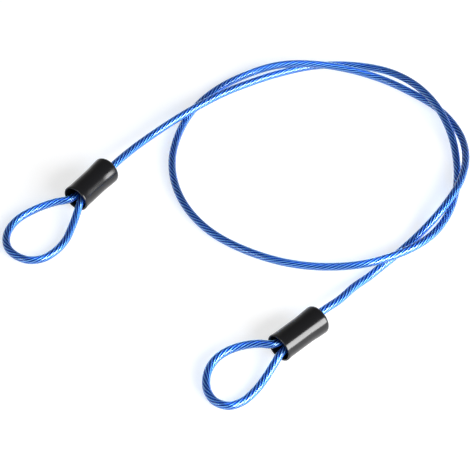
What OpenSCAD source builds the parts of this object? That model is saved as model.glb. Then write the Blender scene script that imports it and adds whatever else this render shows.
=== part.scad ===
// Looped security cable, lying in a loose coil as it comes out of its pack.
// A steel wire rope runs in a clear blue sheath. At each end it is folded back
// into an eye, crimped in an aluminium ferrule, and the ferrule wears a black
// vinyl cap. A padlock's shackle goes through the eyes.
// Millimetres, +Z up, lying on Z = 0, origin below the middle of the whole.

/* [Cable] */
// Diameter over the sheath
cable_d = 4; // [3.6:0.1:4.2]
// Wall of the sheath outside the rope's clearance
sheath_wall = 0.7; // [0.55:0.05:0.8]
// Gap left between two strands of the coil where one passes over the other
crossing_gap = 0.6; // [0.5:0.1:1.5]

/* [Ferrules] */
// Width across both legs of the rope
ferrule_w = 12; // [11.6:0.1:13]
// Height
ferrule_h = 7.6; // [6.4:0.2:8.6]
// Length
ferrule_len = 13; // [10:0.5:16]
// Depth of the crimp's grooves
crimp_depth = 0.5; // [0.2:0.1:0.8]
// Width of one crimp groove
groove_w = 2; // [1:0.1:2.4]

/* [Caps] */
// Wall thickness
cap_wall = 0.9; // [0.7:0.1:1.1]
// Thickness of the closed end
cap_end = 1.4; // [1:0.1:1.8]
// Depth of the ferrule's near face inside the mouth
mouth_depth = 10; // [10:0.5:12]
// Empty length between the ferrule and the closed end
toe_space = 3.4; // [3:0.1:4.5]
// How much wider than the body the soft mouth is
mouth_flare = 0.4; // [0.2:0.1:1]
// How much wider than the body the bulge at the closed end is
bulge = 0.9; // [0.2:0.1:1.1]
// Outer radius of the shoulder at the closed end
shoulder_r = 2; // [1.5:0.1:3]

/* [Hidden] */

$fn = 96;

sides = 8;                              // flats round a cord's tube, one facing down
floor_z = cable_d / 2;                  // centre height of a cord that lies on the floor
hump = cable_d + crossing_gap;          // how far a crossing lifts the upper strand
fit_gap = 0.1;                          // ferrule in its cap, rope in its sheath
rope_d = cable_d - 2 * (sheath_wall + fit_gap);
hole_gap = 0.15;                        // cable in the hole of the cap's closed end
leg_gap = 0.2;                          // between the two legs beside each other
strip_gap = 0.2;                        // between the ferrule and the end of the sheath
bend_gap = 0.3;                         // between the tails and the coil, where they bend
leg_pitch = cable_d + leg_gap;
rope_end = 0.8;                         // cut end of the rope past the ferrule
groove_count = 3;
groove_pitch = ferrule_len / groove_count;
ferrule_far = mouth_depth + ferrule_len;
cap_d = ferrule_w + 2 * fit_gap + 2 * cap_wall;
mouth_d = cap_d + mouth_flare;
bulge_d = cap_d + bulge;
cap_len = ferrule_far + toe_space + cap_end;
axis_z = max(mouth_d, bulge_d) / 2;     // height of the caps' axes

sheath_blue = "royalblue";
rope_steel = "silver";
vinyl_black = "black";
ferrule_grey = "gainsboro";

// An end is [x and y of its mouth, heading out of the mouth, side of the long leg,
// roll of the ferrule in its cap]
end_a = [-84.9, 9.1, -124.5, -1, -40];
end_b = [17.4, -92.6, -136, 1, 0];

// Points in an end's own frame: out of the mouth, to its right, up
function end_point(end, p) = [
    end[0] + p[0] * cos(end[2]) + p[1] * sin(end[2]),
    end[1] + p[0] * sin(end[2]) - p[1] * cos(end[2]),
    p[2]
];

// Height from a share: 0 lies on the floor, 1 is level with the cap's axis
function rise(share) = floor_z + (axis_z - floor_z) * share;

// Eyes, from the left leg round the tip to the right leg:
// [out of the mouth, to the right, share of the rise]
eye_a_points = [
    [-2.8, -2.4, 1.02], [0.8, -3.3, 0.76], [5.2, -4.8, 0.4], [13, -7.7, 0.12],
    [23, -10.8, 0], [32, -11.2, 0], [39.1, -9.1, 0], [43.6, -4.2, 0],
    [44.8, 2.1, 0], [43.4, 8.7, 0], [39.1, 14.1, 0], [32.4, 17.7, 0.02],
    [24.6, 18.5, 0.08], [15.3, 15.4, 0.26], [6, 9, 0.55], [0.2, 3.2, 0.73],
    [-2.8, 2.1, 0.76]
];
eye_b_points = [
    [-2.8, -2.1, 0.88], [0.8, -2.2, 0.68], [5.5, -3.2, 0.38], [13.5, -5.5, 0.09],
    [23.5, -7.9, 0], [32, -8.3, 0], [37.9, -5.9, 0], [40.8, 0.2, 0],
    [39.5, 6.7, 0.03], [35.8, 11.9, 0.1], [29.9, 16.2, 0.2], [22.7, 18.1, 0.34],
    [15.7, 17, 0.5], [9.7, 13.6, 0.73], [4.5, 8.6, 0.97], [0.2, 3.4, 1.06],
    [-2.8, 2.3, 1.05]
];

// Free tails, from the cap to the coil: [x, y, share of the rise]
tail_a_points = [[-57.2, 47.3, 0.95], [-46.6, 60.8, 0.7], [-35.7, 71, 0.85]];
tail_b_points = [[54.8, -50, 0.35], [48.1, -59.2, 0.68]];

// The coil, clockwise from above, one row every coil_step degrees:
// [radius, share of the hump]
coil_centre = [40.4, 45];
coil_start = 150;
coil_step = 15;
coil_rows = [
    [74, 1], [70.5, 0.72], [70.6, 0.26], [73, 0.02], [76.8, 0], [80.5, 0.02],
    [81.7, 0.34], [78.6, 0.94], [75.8, 1], [74.2, 0.5], [73.5, 0.06], [74.6, 0],
    [77.2, 0.04], [80.6, 0.38], [83.4, 1], [83.4, 0.9], [79.6, 0.18], [78, 0],
    [77.4, 0], [77.8, 0], [77.6, 0], [77.1, 0], [76.7, 0], [76.4, 0],
    [77.2, 0], [78, 0], [78.2, 0.12], [75.4, 0.9], [73.2, 1], [73, 0.7],
    [74.8, 0.2], [76.2, 0], [78.6, 0], [79.2, 0.22], [78.2, 0.68], [76.6, 1],
    [75.2, 1], [75.2, 0.42], [78.8, 0], [88.6, 0.02]
];

function coil_point(i) = [
    coil_centre[0] + coil_rows[i][0] * cos(coil_start - coil_step * i),
    coil_centre[1] + coil_rows[i][0] * sin(coil_start - coil_step * i),
    floor_z + hump * coil_rows[i][1]
];

// A point on the line of one leg through the ferrule
function leg_point(end, side, out) = end_point(end, [
    out,
    side * leg_pitch / 2 * cos(end[4]),
    axis_z + side * leg_pitch / 2 * sin(end[4])
]);

// A straight leg inside a cap, from where the sheath is stripped at the ferrule's
// face over one cable diameter
function leg(end, side, face, way) = [
    for (step = [0, 1]) leg_point(end, side, -face + way * (strip_gap + cable_d * step))
];

function reversed(list) = [for (i = [len(list) - 1 : -1 : 0]) list[i]];

function eye_route(end, points) = concat(
    leg(end, -1, mouth_depth, 1),
    [for (p = points) end_point(end, [p[0], p[1], rise(p[2])])],
    reversed(leg(end, 1, mouth_depth, 1))
);

// The long run between the two ferrules, in one piece
head_points = concat(
    leg(end_a, end_a[3], ferrule_far, -1),
    [leg_point(end_a, end_a[3], -cap_len - 4)],
    [for (p = tail_a_points) [p[0], p[1], rise(p[2])]]
);
coil_points = [for (i = [0 : len(coil_rows) - 1]) coil_point(i)];
foot_points = concat(
    [for (p = tail_b_points) [p[0], p[1], rise(p[2])]],
    [leg_point(end_b, end_b[3], -cap_len - 4)],
    reversed(leg(end_b, end_b[3], ferrule_far, -1))
);
long_points = concat(head_points, coil_points, foot_points);

// Smooth curve through the points, two rings to each step: the slope at a point
// is that of the steps on both sides, where the shorter one counts for more
function slope(pts, i) =
    let (
        before = pts[i] - pts[max(i - 1, 0)],
        after = pts[min(i + 1, len(pts) - 1)] - pts[i],
        b = norm(before),
        a = norm(after)
    )
        b == 0 ? after / a
        : a == 0 ? before / b
        : (before * a / b + after * b / a) / (a + b);

function halfway(pts, i) =
    on_floor(
        (pts[i] + pts[i + 1]) / 2
        + (slope(pts, i) - slope(pts, i + 1)) * norm(pts[i + 1] - pts[i]) / 8
    );

// No point of a curve sinks lower than a cord that lies on the floor
function on_floor(p) = [p[0], p[1], max(p[2], floor_z)];

function smooth(pts) = [
    for (i = [0 : len(pts) - 1], half = [0, 1])
        if (half == 0 || i < len(pts) - 1)
            half == 0 ? pts[i] : halfway(pts, i)
];

long_curve = smooth(long_points);
split_a = 2 * (len(head_points) - 2);
split_b = len(long_curve) - 1 - 2 * (len(foot_points) - 1);

function part_of(list, first, last) = [for (i = [first : last]) list[i]];

// Unit direction of a curve at each of its points
function headings(pts) = [
    for (i = [0 : len(pts) - 1])
        let (ahead = pts[min(i + 1, len(pts) - 1)] - pts[max(i - 1, 0)])
            ahead / norm(ahead)
];

// A stretch of the long run. It stops half a gap short of where it bends.
long_headings = headings(long_curve);
function stretch(first, last) = [
    for (i = [first : last])
        let (cut = i == split_a || i == split_b)
            long_curve[i] + (cut ? (i == first ? 1 : -1) * bend_gap / 2 : 0) * long_headings[i]
];

// Rings of a tube: each is square to the curve and keeps one flat facing down

function ring(centre, along, r) =
    let (
        side = cross(along, [0, 0, 1]) / norm(cross(along, [0, 0, 1])),
        up = cross(side, along)
    )
        [for (k = [0 : sides - 1])
            let (a = 360 * (k + 0.5) / sides)
                centre + r / cos(180 / sides) * (cos(a) * side + sin(a) * up)];

function rings(pts, along, r) = [
    for (i = [0 : len(pts) - 1], corner = ring(pts[i], along[i], r)) corner
];

// Triangles between ring i and ring i + 1, turned out or in
function wall_faces(count, first, outward) = [
    for (i = [0 : count - 2], k = [0 : sides - 1])
        let (
            a = first + i * sides + k,
            b = first + i * sides + (k + 1) % sides
        )
            each outward
                ? [[a, b, a + sides], [b, b + sides, a + sides]]
                : [[a, a + sides, b], [b, a + sides, b + sides]]
];

function disc_faces(first, outward) = [
    for (k = [1 : sides - 2])
        outward ? [first, first + k + 1, first + k] : [first, first + k, first + k + 1]
];

function rim_faces(outer, inner, outward) = [
    for (k = [0 : sides - 1])
        let (n = (k + 1) % sides)
            each outward
                ? [[outer + k, inner + k, outer + n], [outer + n, inner + k, inner + n]]
                : [[outer + k, outer + n, inner + k], [outer + n, inner + n, inner + k]]
];

// Solid cord along a curve
module cord(pts, along, d) {
    count = len(pts);
    polyhedron(
        points = rings(pts, along, d / 2),
        faces = concat(
            wall_faces(count, 0, true),
            disc_faces(0, true),
            disc_faces((count - 1) * sides, false)
        ),
        convexity = 10
    );
}

// Hollow sheath along a curve
module sheath(pts, along, d, bore) {
    count = len(pts);
    inner = count * sides;
    polyhedron(
        points = concat(rings(pts, along, d / 2), rings(pts, along, bore / 2)),
        faces = concat(
            wall_faces(count, 0, true),
            wall_faces(count, inner, false),
            rim_faces(0, inner, true),
            rim_faces((count - 1) * sides, inner + (count - 1) * sides, false)
        ),
        convexity = 10
    );
}

// Points along the straight runs between rings, parts to each run
function run_points(pts, parts) = [
    for (i = [0 : len(pts) - 2], k = [0 : parts - 1])
        pts[i] + (pts[i + 1] - pts[i]) * k / parts
];

// The least gap of a cord to itself, between points that are far apart along it
function least_gap(pts, apart, d) = min([
    for (i = [0 : len(pts) - 1 - apart], j = [i + apart : len(pts) - 1])
        norm(pts[i] - pts[j]) - d
]);

// Puts a child at an end: its Z axis runs from the mouth into the cap
module at_end(end) {
    translate([end[0], end[1], axis_z])
        rotate([0, -90, end[2]])
            rotate(end[4])
                children();
}

// Half of the cap's outline, from the mouth to the closed end: a flare, the
// body, a bulge and a round shoulder
module cap_profile(shrink, start, length) {
    shoulder = shoulder_r - shrink;
    polygon(concat(
        [[0, start], [mouth_d / 2 - shrink, start], [mouth_d / 2 - shrink, 1]],
        [[cap_d / 2 - shrink, mouth_depth / 2], [cap_d / 2 - shrink, ferrule_far - ferrule_len / 3]],
        [for (a = [0 : 15 : 90]) [
            bulge_d / 2 - shrink - shoulder * (1 - cos(a)),
            length - shoulder * (1 - sin(a))
        ]],
        [[0, length]]
    ));
}

module cap(end) {
    color(vinyl_black)
        at_end(end)
            difference() {
                rotate_extrude() cap_profile(0, 0, cap_len);
                rotate_extrude() cap_profile(cap_wall, -1, cap_len - cap_end);
                translate([0, -end[3] * leg_pitch / 2, ferrule_far])
                    cylinder(d = cable_d / cos(180 / sides) + 2 * hole_gap, h = cap_len);
            }
}

module ferrule(end) {
    half = (ferrule_w - ferrule_h) / 2;
    color(ferrule_grey)
        at_end(end)
            translate([0, 0, mouth_depth])
                difference() {
                    linear_extrude(ferrule_len)
                        union() {
                            square([ferrule_h, 2 * half], center = true);
                            for (s = [-1, 1])
                                translate([0, s * half])
                                    circle(d = ferrule_h);
                        }
                    for (s = [-1, 1])
                        translate([0, s * leg_pitch / 2, -1])
                            cylinder(d = rope_d / cos(180 / sides) + fit_gap, h = ferrule_len + 2);
                    for (i = [0 : groove_count - 1], s = [-1, 1])
                        translate([s * (ferrule_h - crimp_depth), 0, groove_pitch * (i + 0.5)])
                            cube([ferrule_h, ferrule_w + 2, groove_w], center = true);
                }
}

module eye_sheath(end, points) {
    route = smooth(eye_route(end, points));
    color(sheath_blue)
        sheath(route, headings(route), cable_d, rope_d + 2 * fit_gap);
}

// Where a leg of the rope ends: the long one at the ferrule, the short one past it
function rope_stop(end, side) =
    leg_point(end, side, -ferrule_far - (side == end[3] ? 0 : rope_end));

// Steel rope of an eye: through the ferrule, round the eye and back through it
module eye_rope(end, points) {
    middle = smooth(eye_route(end, points));
    route = concat([rope_stop(end, -1)], middle, [rope_stop(end, 1)]);
    color(rope_steel)
        cord(route, headings(route), rope_d);
}

module run_sheath(first, last) {
    color(sheath_blue)
        sheath(
            stretch(first, last), part_of(long_headings, first, last),
            cable_d, rope_d + 2 * fit_gap
        );
}

module run_rope(first, last) {
    color(rope_steel)
        cord(stretch(first, last), part_of(long_headings, first, last), rope_d);
}

coil_curve = part_of(long_curve, split_a, split_b);
echo(coil_least_gap = least_gap(run_points(coil_curve, 4), 40, cable_d));

cap(end_a);  // cap_a
ferrule(end_a);  // ferrule_a
eye_sheath(end_a, eye_a_points);  // eye_sheath_a
eye_rope(end_a, eye_a_points);  // eye_rope_a
run_sheath(0, split_a);  // tail_sheath_a
run_rope(0, split_a);  // tail_rope_a
run_sheath(split_a, split_b);  // coil_sheath
run_rope(split_a, split_b);  // coil_rope
run_sheath(split_b, len(long_curve) - 1);  // tail_sheath_b
run_rope(split_b, len(long_curve) - 1);  // tail_rope_b
eye_sheath(end_b, eye_b_points);  // eye_sheath_b
eye_rope(end_b, eye_b_points);  // eye_rope_b
ferrule(end_b);  // ferrule_b
cap(end_b);  // cap_b
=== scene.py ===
"""A looped security cable lying in a loose coil: a steel wire rope in a clear blue
PVC sheath, folded back into an eye at each end, crimped in an aluminium ferrule
and finished with a black vinyl cap."""

import bpy
import numpy as np
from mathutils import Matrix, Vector


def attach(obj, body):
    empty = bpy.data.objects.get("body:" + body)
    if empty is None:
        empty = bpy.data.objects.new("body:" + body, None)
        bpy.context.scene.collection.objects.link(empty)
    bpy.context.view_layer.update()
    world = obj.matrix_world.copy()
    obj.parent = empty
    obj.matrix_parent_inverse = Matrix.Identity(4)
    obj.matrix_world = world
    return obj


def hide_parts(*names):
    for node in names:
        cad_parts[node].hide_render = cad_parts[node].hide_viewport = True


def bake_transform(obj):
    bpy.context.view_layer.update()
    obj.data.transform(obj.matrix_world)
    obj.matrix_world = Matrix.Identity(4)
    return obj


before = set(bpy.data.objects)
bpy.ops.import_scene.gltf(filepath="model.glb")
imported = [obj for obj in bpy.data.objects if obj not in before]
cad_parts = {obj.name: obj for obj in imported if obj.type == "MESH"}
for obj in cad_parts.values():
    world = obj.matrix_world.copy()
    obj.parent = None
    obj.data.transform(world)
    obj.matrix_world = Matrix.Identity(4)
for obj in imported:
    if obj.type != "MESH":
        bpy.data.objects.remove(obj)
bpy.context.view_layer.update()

MM = 0.001
scene = bpy.context.scene


# ---------------------------------------------------------------- camera
# A long lens looks down at the floor at 45 degrees from the front, far enough
# away that the cable is only a little thicker in front than behind.

LENS_MM = 137.4
SENSOR_MM = 36
CAMERA_DISTANCE = 908.35 * MM
CAMERA_TILT = np.radians(45)
LOOK_AT = np.array([-3.1, -11.5, 2.0]) * MM

camera_data = bpy.data.cameras.new("camera")
camera_data.sensor_width = SENSOR_MM
camera_data.lens = LENS_MM
camera = bpy.data.objects.new("camera", camera_data)
camera.location = LOOK_AT + CAMERA_DISTANCE * np.array([0, -np.cos(CAMERA_TILT), np.sin(CAMERA_TILT)])
camera.rotation_euler = (np.pi / 2 - CAMERA_TILT, 0, 0)
scene.collection.objects.link(camera)
scene.camera = camera


# ---------------------------------------------------------------- route of the cable
# The rope is one length, folded back on itself at both ends. Its long run goes
# from ferrule to ferrule through the coil, and a short run goes round each eye.
# Lengths in the tables are millimetres and headings degrees.

CABLE_D = 4 * MM
FLOOR_Z = CABLE_D / 2
HUMP = CABLE_D + 0.6 * MM
LEG_PITCH = CABLE_D + 0.2 * MM
STRIP_GAP = 0.2 * MM
MOUTH_DEPTH = 10 * MM
FERRULE_LEN = 13 * MM
FERRULE_FAR = MOUTH_DEPTH + FERRULE_LEN
TOE_SPACE = 3.4 * MM
CAP_END = 1.4 * MM
CAP_LEN = FERRULE_FAR + TOE_SPACE + CAP_END
AXIS_Z = 7.45 * MM

END_A = {"mouth": (-84.9, 9.1), "heading": -124.5, "long_side": -1, "roll": -40}
END_B = {"mouth": (17.4, -92.6), "heading": -136, "long_side": 1, "roll": 0}

# Eyes: [out of the mouth, to the right, share of the rise from the floor to the cap's axis]
EYE_A = [
    [-2.8, -2.4, 1.02], [0.8, -3.3, 0.76], [5.2, -4.8, 0.4], [13, -7.7, 0.12],
    [23, -10.8, 0], [32, -11.2, 0], [39.1, -9.1, 0], [43.6, -4.2, 0],
    [44.8, 2.1, 0], [43.4, 8.7, 0], [39.1, 14.1, 0], [32.4, 17.7, 0.02],
    [24.6, 18.5, 0.08], [15.3, 15.4, 0.26], [6, 9, 0.55], [0.2, 3.2, 0.73],
    [-2.8, 2.1, 0.76],
]
EYE_B = [
    [-2.8, -2.1, 0.88], [0.8, -2.2, 0.68], [5.5, -3.2, 0.38], [13.5, -5.5, 0.09],
    [23.5, -7.9, 0], [32, -8.3, 0], [37.9, -5.9, 0], [40.8, 0.2, 0],
    [39.5, 6.7, 0.03], [35.8, 11.9, 0.1], [29.9, 16.2, 0.2], [22.7, 18.1, 0.34],
    [15.7, 17, 0.5], [9.7, 13.6, 0.73], [4.5, 8.6, 0.97], [0.2, 3.4, 1.06],
    [-2.8, 2.3, 1.05],
]
# Free tails between cap and coil: [x, y, share of the same rise]
TAIL_A = [[-57.2, 47.3, 0.95], [-46.6, 60.8, 0.7], [-35.7, 71, 0.85]]
TAIL_B = [[54.8, -50, 0.35], [48.1, -59.2, 0.68]]
# The coil, clockwise, one row every 15 degrees: [radius, share of a crossing's hump]
COIL_CENTRE = (40.4, 45)
COIL_START, COIL_STEP = 150, 15
COIL = [
    [74, 1], [70.5, 0.72], [70.6, 0.26], [73, 0.02], [76.8, 0], [80.5, 0.02],
    [81.7, 0.34], [78.6, 0.94], [75.8, 1], [74.2, 0.5], [73.5, 0.06], [74.6, 0],
    [77.2, 0.04], [80.6, 0.38], [83.4, 1], [83.4, 0.9], [79.6, 0.18], [78, 0],
    [77.4, 0], [77.8, 0], [77.6, 0], [77.1, 0], [76.7, 0], [76.4, 0],
    [77.2, 0], [78, 0], [78.2, 0.12], [75.4, 0.9], [73.2, 1], [73, 0.7],
    [74.8, 0.2], [76.2, 0], [78.6, 0], [79.2, 0.22], [78.2, 0.68], [76.6, 1],
    [75.2, 1], [75.2, 0.42], [78.8, 0], [88.6, 0.02],
]


def rise(share):
    """Height from a share: 0 lies on the floor, 1 is level with the cap's axis."""
    return FLOOR_Z + (AXIS_Z - FLOOR_Z) * share


def end_points(end, along, right, height):
    """Points in an end's own frame: mouth + along * heading + right * its right, up."""
    h = np.radians(end["heading"])
    x = end["mouth"][0] * MM + along * np.cos(h) + right * np.sin(h)
    y = end["mouth"][1] * MM + along * np.sin(h) - right * np.cos(h)
    return np.stack(np.broadcast_arrays(x, y, height), axis=-1)


def leg(end, side, along):
    """Points on the line of one leg through the ferrule, half a pitch off the axis."""
    roll = np.radians(end["roll"])
    off = side * LEG_PITCH / 2
    return end_points(end, np.asarray(along), off * np.cos(roll), AXIS_Z + off * np.sin(roll))


def eye_route(end, table):
    """Out of the ferrule on one leg, round the eye and back in on the other."""
    out = STRIP_GAP - MOUTH_DEPTH + np.array([0, CABLE_D])
    along, right, share = np.array(table).T
    loop = end_points(end, along * MM, right * MM, rise(share))
    return np.vstack([leg(end, -1, out), loop, leg(end, 1, out[::-1])])


def tail_route(table):
    x, y, share = np.array(table).T
    return np.column_stack([x * MM, y * MM, rise(share)])


def coil_route():
    """Centre + radius * (cos, sin) of an angle that falls by one step a row."""
    radius, share = np.array(COIL).T
    a = np.radians(COIL_START - COIL_STEP * np.arange(len(radius)))
    x = COIL_CENTRE[0] + radius * np.cos(a)
    y = COIL_CENTRE[1] + radius * np.sin(a)
    return np.column_stack([x * MM, y * MM, FLOOR_Z + HUMP * share])


def smooth(points, spacing):
    """Cubic through the points, with the slope at each point the mean of the unit
    steps on both sides weighted by the other's length, then cut into equal steps.
    Gives the points and the length run to each."""
    step = np.diff(points, axis=0)
    length = np.linalg.norm(step, axis=1)[:, None]
    unit = step / length
    inner = (unit[:-1] * length[1:] + unit[1:] * length[:-1]) / (length[1:] + length[:-1])
    slope = np.vstack([unit[:1], inner, unit[-1:]])
    t = np.linspace(0, 1, 60, endpoint=False)[None, :, None]
    h = length[:, None]
    p = (
        (2 * t**3 - 3 * t**2 + 1) * points[:-1, None]
        + (t**3 - 2 * t**2 + t) * h * slope[:-1, None]
        + (3 * t**2 - 2 * t**3) * points[1:, None]
        + (t**3 - t**2) * h * slope[1:, None]
    )
    fine = np.vstack([p.reshape(-1, 3), points[-1:]])
    fine[:, 2] = np.maximum(fine[:, 2], FLOOR_Z)
    run = np.r_[0, np.cumsum(np.linalg.norm(np.diff(fine, axis=0), axis=1))]
    at = np.linspace(0, run[-1], int(round(run[-1] / spacing)) + 1)
    return np.column_stack([np.interp(at, run, fine[:, k]) for k in range(3)]), at


RING_STEP = 0.7 * MM
IN_CAP = -np.array([FERRULE_FAR + STRIP_GAP, FERRULE_FAR + STRIP_GAP + CABLE_D, CAP_LEN + CABLE_D])
exit_a = leg(END_A, END_A["long_side"], IN_CAP)
exit_b = leg(END_B, END_B["long_side"], IN_CAP[::-1])
long_points = np.vstack([exit_a, tail_route(TAIL_A), coil_route(), tail_route(TAIL_B), exit_b])
long_line, long_at = smooth(long_points, RING_STEP)


def nearest(point):
    """Index of the ring of the long run that is closest to a point."""
    return int(np.argmin(np.linalg.norm(long_line - point, axis=1)))


# The long run is made as three stretches, which meet ring to ring where another
# strand passes over them.
SEAM_BACK = int(8.5 * MM / RING_STEP)
seam_a = nearest(coil_route()[3:5].mean(axis=0))
seam_b = nearest(coil_route()[-1]) - SEAM_BACK
STRETCHES = {
    "tail_a": (long_line[: seam_a + 1], long_at[: seam_a + 1]),
    "coil": (long_line[seam_a : seam_b + 1], long_at[seam_a : seam_b + 1]),
    "tail_b": (long_line[seam_b:], long_at[seam_b:]),
    "eye_a": smooth(eye_route(END_A, EYE_A), RING_STEP),
    "eye_b": smooth(eye_route(END_B, EYE_B), RING_STEP),
}
CAD_NODE = {
    "tail_a": "tail_{}_a", "coil": "coil_{}", "tail_b": "tail_{}_b",
    "eye_a": "eye_{}_a", "eye_b": "eye_{}_b",
}


def join_to_bodies(piece, stretch):
    """An eye rides on its end and the coil on itself. A tail is left where it lies,
    with its placement baked into its points."""
    if stretch == "tail_a":
        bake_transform(piece)
    elif stretch == "tail_b":
        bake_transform(piece)
    elif stretch == "coil":
        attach(piece, "coil")
    else:
        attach(piece, "end_" + stretch[-1])


# ---------------------------------------------------------------- wire rope
# Galvanised steel, 7 x 7: six strands laid left-handed round a core strand, each
# of seven drawn wires, 2.4 millimetres across in all. The sheath grips it.

ROPE_D = 2.4 * MM
STRAND_R = ROPE_D / 6
LAY = 21.3 * MM
STRAND_SIDES = 10
WIRE_LAY = 6 * MM
OUTER_WIRES = 6


def frames(line):
    """Unit vectors to the right of the line and up from it, square to its direction."""
    along = np.gradient(line, axis=0)
    along /= np.linalg.norm(along, axis=1)[:, None]
    right = np.cross(along, [0, 0, 1])
    right /= np.linalg.norm(right, axis=1)[:, None]
    return right, np.cross(right, along)


def strand(line, at, phase):
    """Grid of points: line + 2 r * out + r * (cos * out + sin * round), where the unit
    vector out turns once in each lay, and round is square to it and to the line."""
    right, up = frames(line)
    turn = 2 * np.pi * (at / LAY + phase)[:, None]
    out = np.cos(turn) * right + np.sin(turn) * up
    round_it = np.cos(turn) * up - np.sin(turn) * right
    a = np.linspace(0, 2 * np.pi, STRAND_SIDES, endpoint=False)[None, :, None]
    slant = np.hypot(LAY, 4 * np.pi * STRAND_R) / LAY
    centre = line + 2 * STRAND_R * out
    return centre[:, None] + STRAND_R * (np.cos(a) * out[:, None] + slant * np.sin(a) * round_it[:, None])


def tube(line, radius, sides):
    """Grid of points: line + radius * (cos * right + sin * up), one row to a ring."""
    right, up = frames(line)
    a = np.linspace(0, 2 * np.pi, sides, endpoint=False)[None, :, None]
    return line[:, None] + radius * (np.cos(a) * right[:, None] + np.sin(a) * up[:, None])


def tube_mesh(name, grids, along, shut=(False, False)):
    """One mesh of several tubes, each a grid of rings, with a UV map of metres along
    and turns round. A shut end gets a fan of triangles round its middle."""
    points, quads, quad_uvs, fans = [], [], [], []
    base = 0
    for grid in grids:
        rings, sides = grid.shape[:2]
        i = base + np.arange(rings - 1)[:, None] * sides
        k = np.arange(sides)[None, :]
        n = (k + 1) % sides
        quads.append(np.stack([i + n, i + k, i + sides + k, i + sides + n], axis=-1).reshape(-1, 4))
        ahead = np.stack([along[:-1], along[:-1], along[1:], along[1:]], axis=-1)[:, None, :]
        turn = np.stack([k + 1, k, k, k + 1], axis=-1) / sides
        quad_uvs.append(np.stack(np.broadcast_arrays(ahead, turn), axis=-1).reshape(-1, 2))
        points.append(grid.reshape(-1, 3))
        middle = base + rings * sides
        for end, (first, second) in ((0, (k, n)), (rings - 1, (n, k))):
            if shut[0 if end == 0 else 1]:
                rim = base + end * sides
                points.append(grid[end].mean(axis=0)[None])
                fans.append(np.stack([rim + first[0], rim + second[0], np.full(sides, middle)], axis=-1))
                middle += 1
        base = middle
    faces = np.vstack(quads).tolist() + [f for fan in fans for f in fan.tolist()]
    mesh = bpy.data.meshes.new(name)
    mesh.from_pydata(np.vstack(points).tolist(), [], faces)
    uvs = np.vstack([*quad_uvs, np.zeros((3 * sum(len(fan) for fan in fans), 2))])
    layer = mesh.uv_layers.new(name="along")
    layer.data.foreach_set("uv", uvs.astype(np.float32).ravel())
    mesh.shade_smooth()
    piece = bpy.data.objects.new(name, mesh)
    scene.collection.objects.link(piece)
    return piece


def colour(hex_code):
    """sRGB hex to linear: c / 12.92 below 0.04045, else ((c + 0.055) / 1.055) ** 2.4."""
    c = np.array([int(hex_code[i : i + 2], 16) for i in (1, 3, 5)]) / 255
    linear = np.where(c <= 0.04045, c / 12.92, ((c + 0.055) / 1.055) ** 2.4)
    return (*linear.tolist(), 1.0)


def add(tree, kind, settings=None, **links):
    """Adds a node, sets its properties and sockets, and links its named inputs: a
    socket's name has underscores for spaces, and i0 is the first input."""
    node = tree.nodes.new(kind)
    for key, value in (settings or {}).items():
        if isinstance(key, int) or key in node.inputs:
            node.inputs[key].default_value = value
        else:
            setattr(node, key, value)
    for key, source in links.items():
        socket = node.inputs[int(key[1:])] if key[1:].isdigit() else node.inputs[key.replace("_", " ")]
        tree.links.new(source, socket)
    return node


def new_material(name):
    material = bpy.data.materials.new(name)
    material.use_nodes = True
    material.node_tree.nodes.clear()
    return material, material.node_tree


# Galvanised drawn wire: satin zinc on the crown of each strand, with one faint rib for
# each outer wire. From the crown down into the grooves between the strands the colour
# turns to a painted blue shade, for the shade there and the thicker blue PVC in them.
steel, tree = new_material("galvanised_wire")
uv = add(tree, "ShaderNodeUVMap", {"uv_map": "along"})
parts = add(tree, "ShaderNodeSeparateXYZ", Vector=uv.outputs["UV"])
lay = add(tree, "ShaderNodeMath", {"operation": "MULTIPLY", 1: -1 / WIRE_LAY}, i0=parts.outputs["X"])
turns = add(tree, "ShaderNodeMath", {"operation": "ADD"}, i0=parts.outputs["Y"], i1=lay.outputs[0])
wires = add(tree, "ShaderNodeMath", {"operation": "MULTIPLY", 1: OUTER_WIRES * np.pi}, i0=turns.outputs[0])
wave = add(tree, "ShaderNodeMath", {"operation": "SINE"}, i0=wires.outputs[0])
rib = add(tree, "ShaderNodeMath", {"operation": "ABSOLUTE"}, i0=wave.outputs[0])
bump = add(tree, "ShaderNodeBump", {"Strength": 0.4, "Distance": 0.05 * MM}, Height=rib.outputs[0])
place = add(tree, "ShaderNodeTexCoord")
grain = add(tree, "ShaderNodeTexNoise", {"Scale": 0.9 / MM, "Detail": 3.0}, Vector=place.outputs["Object"])
zinc = add(tree, "ShaderNodeMapRange", {"To Min": 0.28, "To Max": 0.4}, Value=grain.outputs["Fac"])
angle = add(tree, "ShaderNodeMath", {"operation": "MULTIPLY", 1: 2 * np.pi}, i0=parts.outputs["Y"])
crown = add(tree, "ShaderNodeMath", {"operation": "COSINE"}, i0=angle.outputs[0])
# Painted shade: the ramp runs from the zinc's own pale colour on the crown to a deep blue painted into the
# grooves.
zinc_and_painted_shade = add(tree, "ShaderNodeValToRGB", None, Fac=crown.outputs[0])
low, high = zinc_and_painted_shade.color_ramp.elements
low.position, low.color = 0.25, colour("#1c42ac")
high.position, high.color = 0.98, colour("#d2dcee")
zinc_and_painted_shade.color_ramp.elements.new(0.75).color = colour("#4a74d0")
metal = add(
    tree, "ShaderNodeBsdfPrincipled", {"Metallic": 1.0},
    Base_Color=zinc_and_painted_shade.outputs["Color"], Roughness=zinc.outputs["Result"], Normal=bump.outputs["Normal"],
)
add(tree, "ShaderNodeOutputMaterial", Surface=metal.outputs["BSDF"])

ropes = {}
for stretch, (line, at) in STRETCHES.items():
    strands = [strand(line, at, k / 6) for k in range(6)] + [tube(line, STRAND_R, STRAND_SIDES)]
    ropes[stretch] = tube_mesh("rope_" + stretch, strands, at)
    ropes[stretch].data.materials.append(steel)
    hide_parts(CAD_NODE[stretch].format("rope"))
    join_to_bodies(ropes[stretch], stretch)


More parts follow.
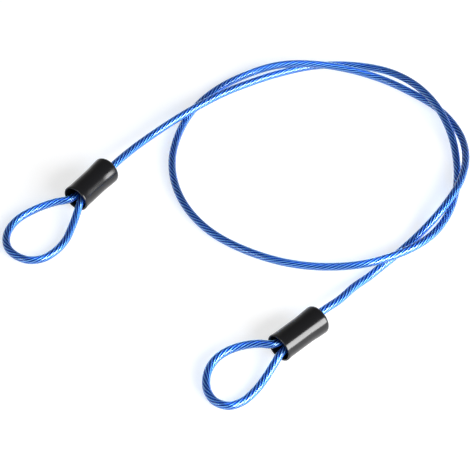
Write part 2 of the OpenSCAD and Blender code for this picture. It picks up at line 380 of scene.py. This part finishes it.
# ---------------------------------------------------------------- sheath
# Clear blue PVC, extruded over the rope so that it fills the grooves between the
# strands. It is smooth and glossy, and its round wall magnifies the rope.

SHEATH_SIDES = 28
SHEATH_BLUE = "#88d0fc"

pvc, tree = new_material("clear_blue_pvc")
glass = add(
    tree, "ShaderNodeBsdfPrincipled",
    {"Base Color": colour(SHEATH_BLUE), "Transmission Weight": 1.0, "Roughness": 0.05, "IOR": 1.53},
)
through = add(tree, "ShaderNodeBsdfTransparent", {"Color": colour(SHEATH_BLUE)})
path = add(tree, "ShaderNodeLightPath")
mix = add(
    tree, "ShaderNodeMixShader", None,
    i0=path.outputs["Is Shadow Ray"], i1=glass.outputs["BSDF"], i2=through.outputs["BSDF"],
)
add(tree, "ShaderNodeOutputMaterial", Surface=mix.outputs["Shader"])

SHUT_ENDS = {
    "tail_a": (True, False), "coil": (False, False), "tail_b": (False, True),
    "eye_a": (True, True), "eye_b": (True, True),
}
for stretch, (line, at) in STRETCHES.items():
    sheath = tube_mesh("sheath_" + stretch, [tube(line, CABLE_D / 2, SHEATH_SIDES)], at, SHUT_ENDS[stretch])
    sheath.data.materials.append(pvc)
    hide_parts(CAD_NODE[stretch].format("sheath"))
    join_to_bodies(sheath, stretch)


# ---------------------------------------------------------------- ferrules
# Oval aluminium sleeves pressed on both legs of the rope, with three crimp
# grooves. They sit deep in the caps; the frame's own solids carry them.

aluminium, tree = new_material("pressed_aluminium")
place = add(tree, "ShaderNodeTexCoord")
grain = add(tree, "ShaderNodeTexNoise", {"Scale": 0.7 / MM, "Detail": 4.0}, Vector=place.outputs["Object"])
dull = add(tree, "ShaderNodeMapRange", {"To Min": 0.35, "To Max": 0.55}, Value=grain.outputs["Fac"])
bump = add(tree, "ShaderNodeBump", {"Strength": 0.25, "Distance": 0.05 * MM}, Height=grain.outputs["Fac"])
metal = add(
    tree, "ShaderNodeBsdfPrincipled", {"Base Color": colour("#dfe1e3"), "Metallic": 1.0},
    Roughness=dull.outputs["Result"], Normal=bump.outputs["Normal"],
)
add(tree, "ShaderNodeOutputMaterial", Surface=metal.outputs["BSDF"])
for name in ("ferrule_a", "ferrule_b"):
    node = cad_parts[name]
    node.data.materials.clear()
    node.data.materials.append(aluminium)


# ---------------------------------------------------------------- caps
# Soft black vinyl, dip-moulded: a thin-walled thimble pushed over the crimp, with a
# flared open mouth, a swelling towards the closed end and a soft shoulder. The cable
# leaves through a hole that the vinyl grips.

CAP_R = 7 * MM
FLARE = 0.2 * MM
FLARE_FADE = 2.2 * MM
BULGE = 0.45 * MM
BULGE_START, BULGE_RUN = 16 * MM, 10 * MM
CAP_WALL = 0.9 * MM
SHOULDER_R = 2 * MM
INNER_CORNER = 0.3 * MM
CAP_SIDES = 96

# Dipped vinyl: deep black, glossy, with the faint unevenness of a skin that gelled.
vinyl, tree = new_material("dipped_black_vinyl")
place = add(tree, "ShaderNodeTexCoord")
skin = add(tree, "ShaderNodeTexNoise", {"Scale": 0.26 / MM, "Detail": 5.0}, Vector=place.outputs["Object"])
gloss = add(tree, "ShaderNodeMapRange", {"To Min": 0.14, "To Max": 0.22}, Value=skin.outputs["Fac"])
bump = add(tree, "ShaderNodeBump", {"Strength": 0.12, "Distance": 0.05 * MM}, Height=skin.outputs["Fac"])
black = add(
    tree, "ShaderNodeBsdfPrincipled", {"Base Color": colour("#0d0d0f"), "IOR": 1.5},
    Roughness=gloss.outputs["Result"], Normal=bump.outputs["Normal"],
)
add(tree, "ShaderNodeOutputMaterial", Surface=black.outputs["BSDF"])


def cap_profile():
    """Rows of [depth from the mouth, radius, share of the way to the cable's hole]:
    up the inside from the hole to the lip, round the lip, down the outside, round the
    shoulder and over the flat end to the hole again. The radius is the body's, plus a
    flare that dies out from the lip and a bulge that eases in towards the closed end."""
    def radius_at(depth):
        ease = np.clip((depth - BULGE_START) / BULGE_RUN, 0, 1)
        return CAP_R + FLARE * np.exp(-((depth / FLARE_FADE) ** 2)) + BULGE * ease**2 * (3 - 2 * ease)

    lip_r = CAP_WALL / 2
    hole_r = CABLE_D / 2 - 0.1 * MM
    over = np.linspace(0, 1, 9)[1:]

    depth = np.linspace(lip_r, CAP_LEN - SHOULDER_R, 44)
    outer = radius_at(depth)
    bend = np.linspace(0, np.pi / 2, 12)[1:]
    round_depth = CAP_LEN - SHOULDER_R * (1 - np.sin(bend))
    round_radius = outer[-1] - SHOULDER_R * (1 - np.cos(bend))
    flat_depth = np.full(len(over), CAP_LEN)
    flat_radius = round_radius[-1] + (hole_r - round_radius[-1]) * over
    outside = np.column_stack([
        np.r_[depth, round_depth, flat_depth],
        np.r_[outer, round_radius, flat_radius],
        np.r_[np.zeros(len(depth) + len(bend)), over],
    ])

    turn = np.linspace(0, np.pi, 11)[1:-1]
    lip_depth = lip_r * (1 - np.sin(turn))
    lip_radius = outer[0] - lip_r - lip_r * np.cos(turn)
    lip = np.column_stack([lip_depth, lip_radius, np.zeros(len(turn))])

    floor_depth = CAP_LEN - CAP_END
    floor_r = radius_at(floor_depth) - CAP_WALL - INNER_CORNER
    back = over[::-1]
    wall_depth = np.linspace(floor_depth - INNER_CORNER, lip_r, 30)
    inside = np.column_stack([
        np.r_[np.full(len(over), floor_depth), wall_depth],
        np.r_[hole_r + (floor_r - hole_r) * (1 - back), radius_at(wall_depth) - CAP_WALL],
        np.r_[back, np.zeros(len(wall_depth))],
    ])
    return np.vstack([inside, lip, outside])


def cap_mesh(name, end):
    """Each row of the profile is a ring round the cap's axis, moved towards the
    cable's hole by its share, so that the closed end gathers round the cable."""
    depth, radius, share = cap_profile().T[:, :, None]
    a = np.linspace(0, 2 * np.pi, CAP_SIDES, endpoint=False)
    roll = np.radians(end["roll"])
    hole = end["long_side"] * LEG_PITCH / 2
    right = radius * np.cos(a) + hole * np.cos(roll) * share
    height = AXIS_Z + radius * np.sin(a) + hole * np.sin(roll) * share
    grid = end_points(end, -depth, right, height)
    piece = tube_mesh(name, [grid], np.linspace(0, 1, len(grid)))
    piece.data.materials.append(vinyl)
    return piece


for tag, end in (("a", END_A), ("b", END_B)):
    cap = cap_mesh("vinyl_cap_" + tag, end)
    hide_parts("cap_" + tag)
    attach(cap, "end_" + tag)


# ---------------------------------------------------------------- floor and light
# A pale sweep of paper, lifted to white where it is seen. A tall softbox stands in
# front to the right and a narrow one in front to the left, and pale walls all round
# fade to a darker ceiling.

REACH = 3.0
corners = [(-REACH, -REACH, 0), (REACH, -REACH, 0), (REACH, REACH, 0), (-REACH, REACH, 0)]
floor_mesh = bpy.data.meshes.new("floor")
floor_mesh.from_pydata(corners, [], [(0, 1, 2, 3)])
floor = bpy.data.objects.new("floor", floor_mesh)
scene.collection.objects.link(floor)
paper, tree = new_material("pale_paper")
matt = add(tree, "ShaderNodeBsdfDiffuse", {"Color": colour("#b6b6b6")})
path = add(tree, "ShaderNodeLightPath")
seen = path.outputs["Is Camera Ray"]
for other in ("Is Glossy Ray", "Is Transmission Ray"):
    seen = add(tree, "ShaderNodeMath", {"operation": "ADD"}, i0=seen, i1=path.outputs[other]).outputs[0]
lift = add(tree, "ShaderNodeMapRange", {"To Max": 0.68}, Value=seen)
glow = add(tree, "ShaderNodeEmission", None, Strength=lift.outputs["Result"])
both = add(tree, "ShaderNodeAddShader", None, i0=matt.outputs["BSDF"], i1=glow.outputs["Emission"])
add(tree, "ShaderNodeOutputMaterial", Surface=both.outputs["Shader"])
floor_mesh.materials.append(paper)


def softbox(name, place, size, power, target):
    """A rectangular area lamp at a place in metres, turned towards a target."""
    data = bpy.data.lights.new(name, "AREA")
    data.shape = "RECTANGLE"
    data.size, data.size_y = size
    data.energy = power
    lamp = bpy.data.objects.new(name, data)
    lamp.location = place
    lamp.rotation_euler = (Vector(target) - Vector(place)).to_track_quat("-Z", "Y").to_euler()
    scene.collection.objects.link(lamp)


softbox("softbox_front_right", (0.82, -0.485, 0.36), (1.23, 0.7), 37, (0.18, 0.285, 0.36))
softbox("softbox_front_left", (-0.8, -0.745, 0.3), (0.38, 0.5), 2.2, (0, 0, 0.1))

world = bpy.data.worlds.new("surround")
scene.world = world
world.use_nodes = True
tree = world.node_tree
tree.nodes.clear()
aim = add(tree, "ShaderNodeTexCoord")
aim = add(tree, "ShaderNodeSeparateXYZ", None, Vector=aim.outputs["Generated"])
walls = add(
    tree, "ShaderNodeMapRange", {"From Min": 0.05, "From Max": 0.6, "To Min": 0.5, "To Max": 0.16},
    Value=aim.outputs["Z"],
)
path = add(tree, "ShaderNodeLightPath")
strength = add(
    tree, "ShaderNodeMapRange", {"To Max": 1.0},
    Value=path.outputs["Is Camera Ray"], i3=walls.outputs["Result"],
)
sky = add(tree, "ShaderNodeBackground", {"Color": (1, 1, 1, 1)}, Strength=strength.outputs["Result"])
add(tree, "ShaderNodeOutputWorld", Surface=sky.outputs["Background"])
scene.view_settings.view_transform = "Standard"
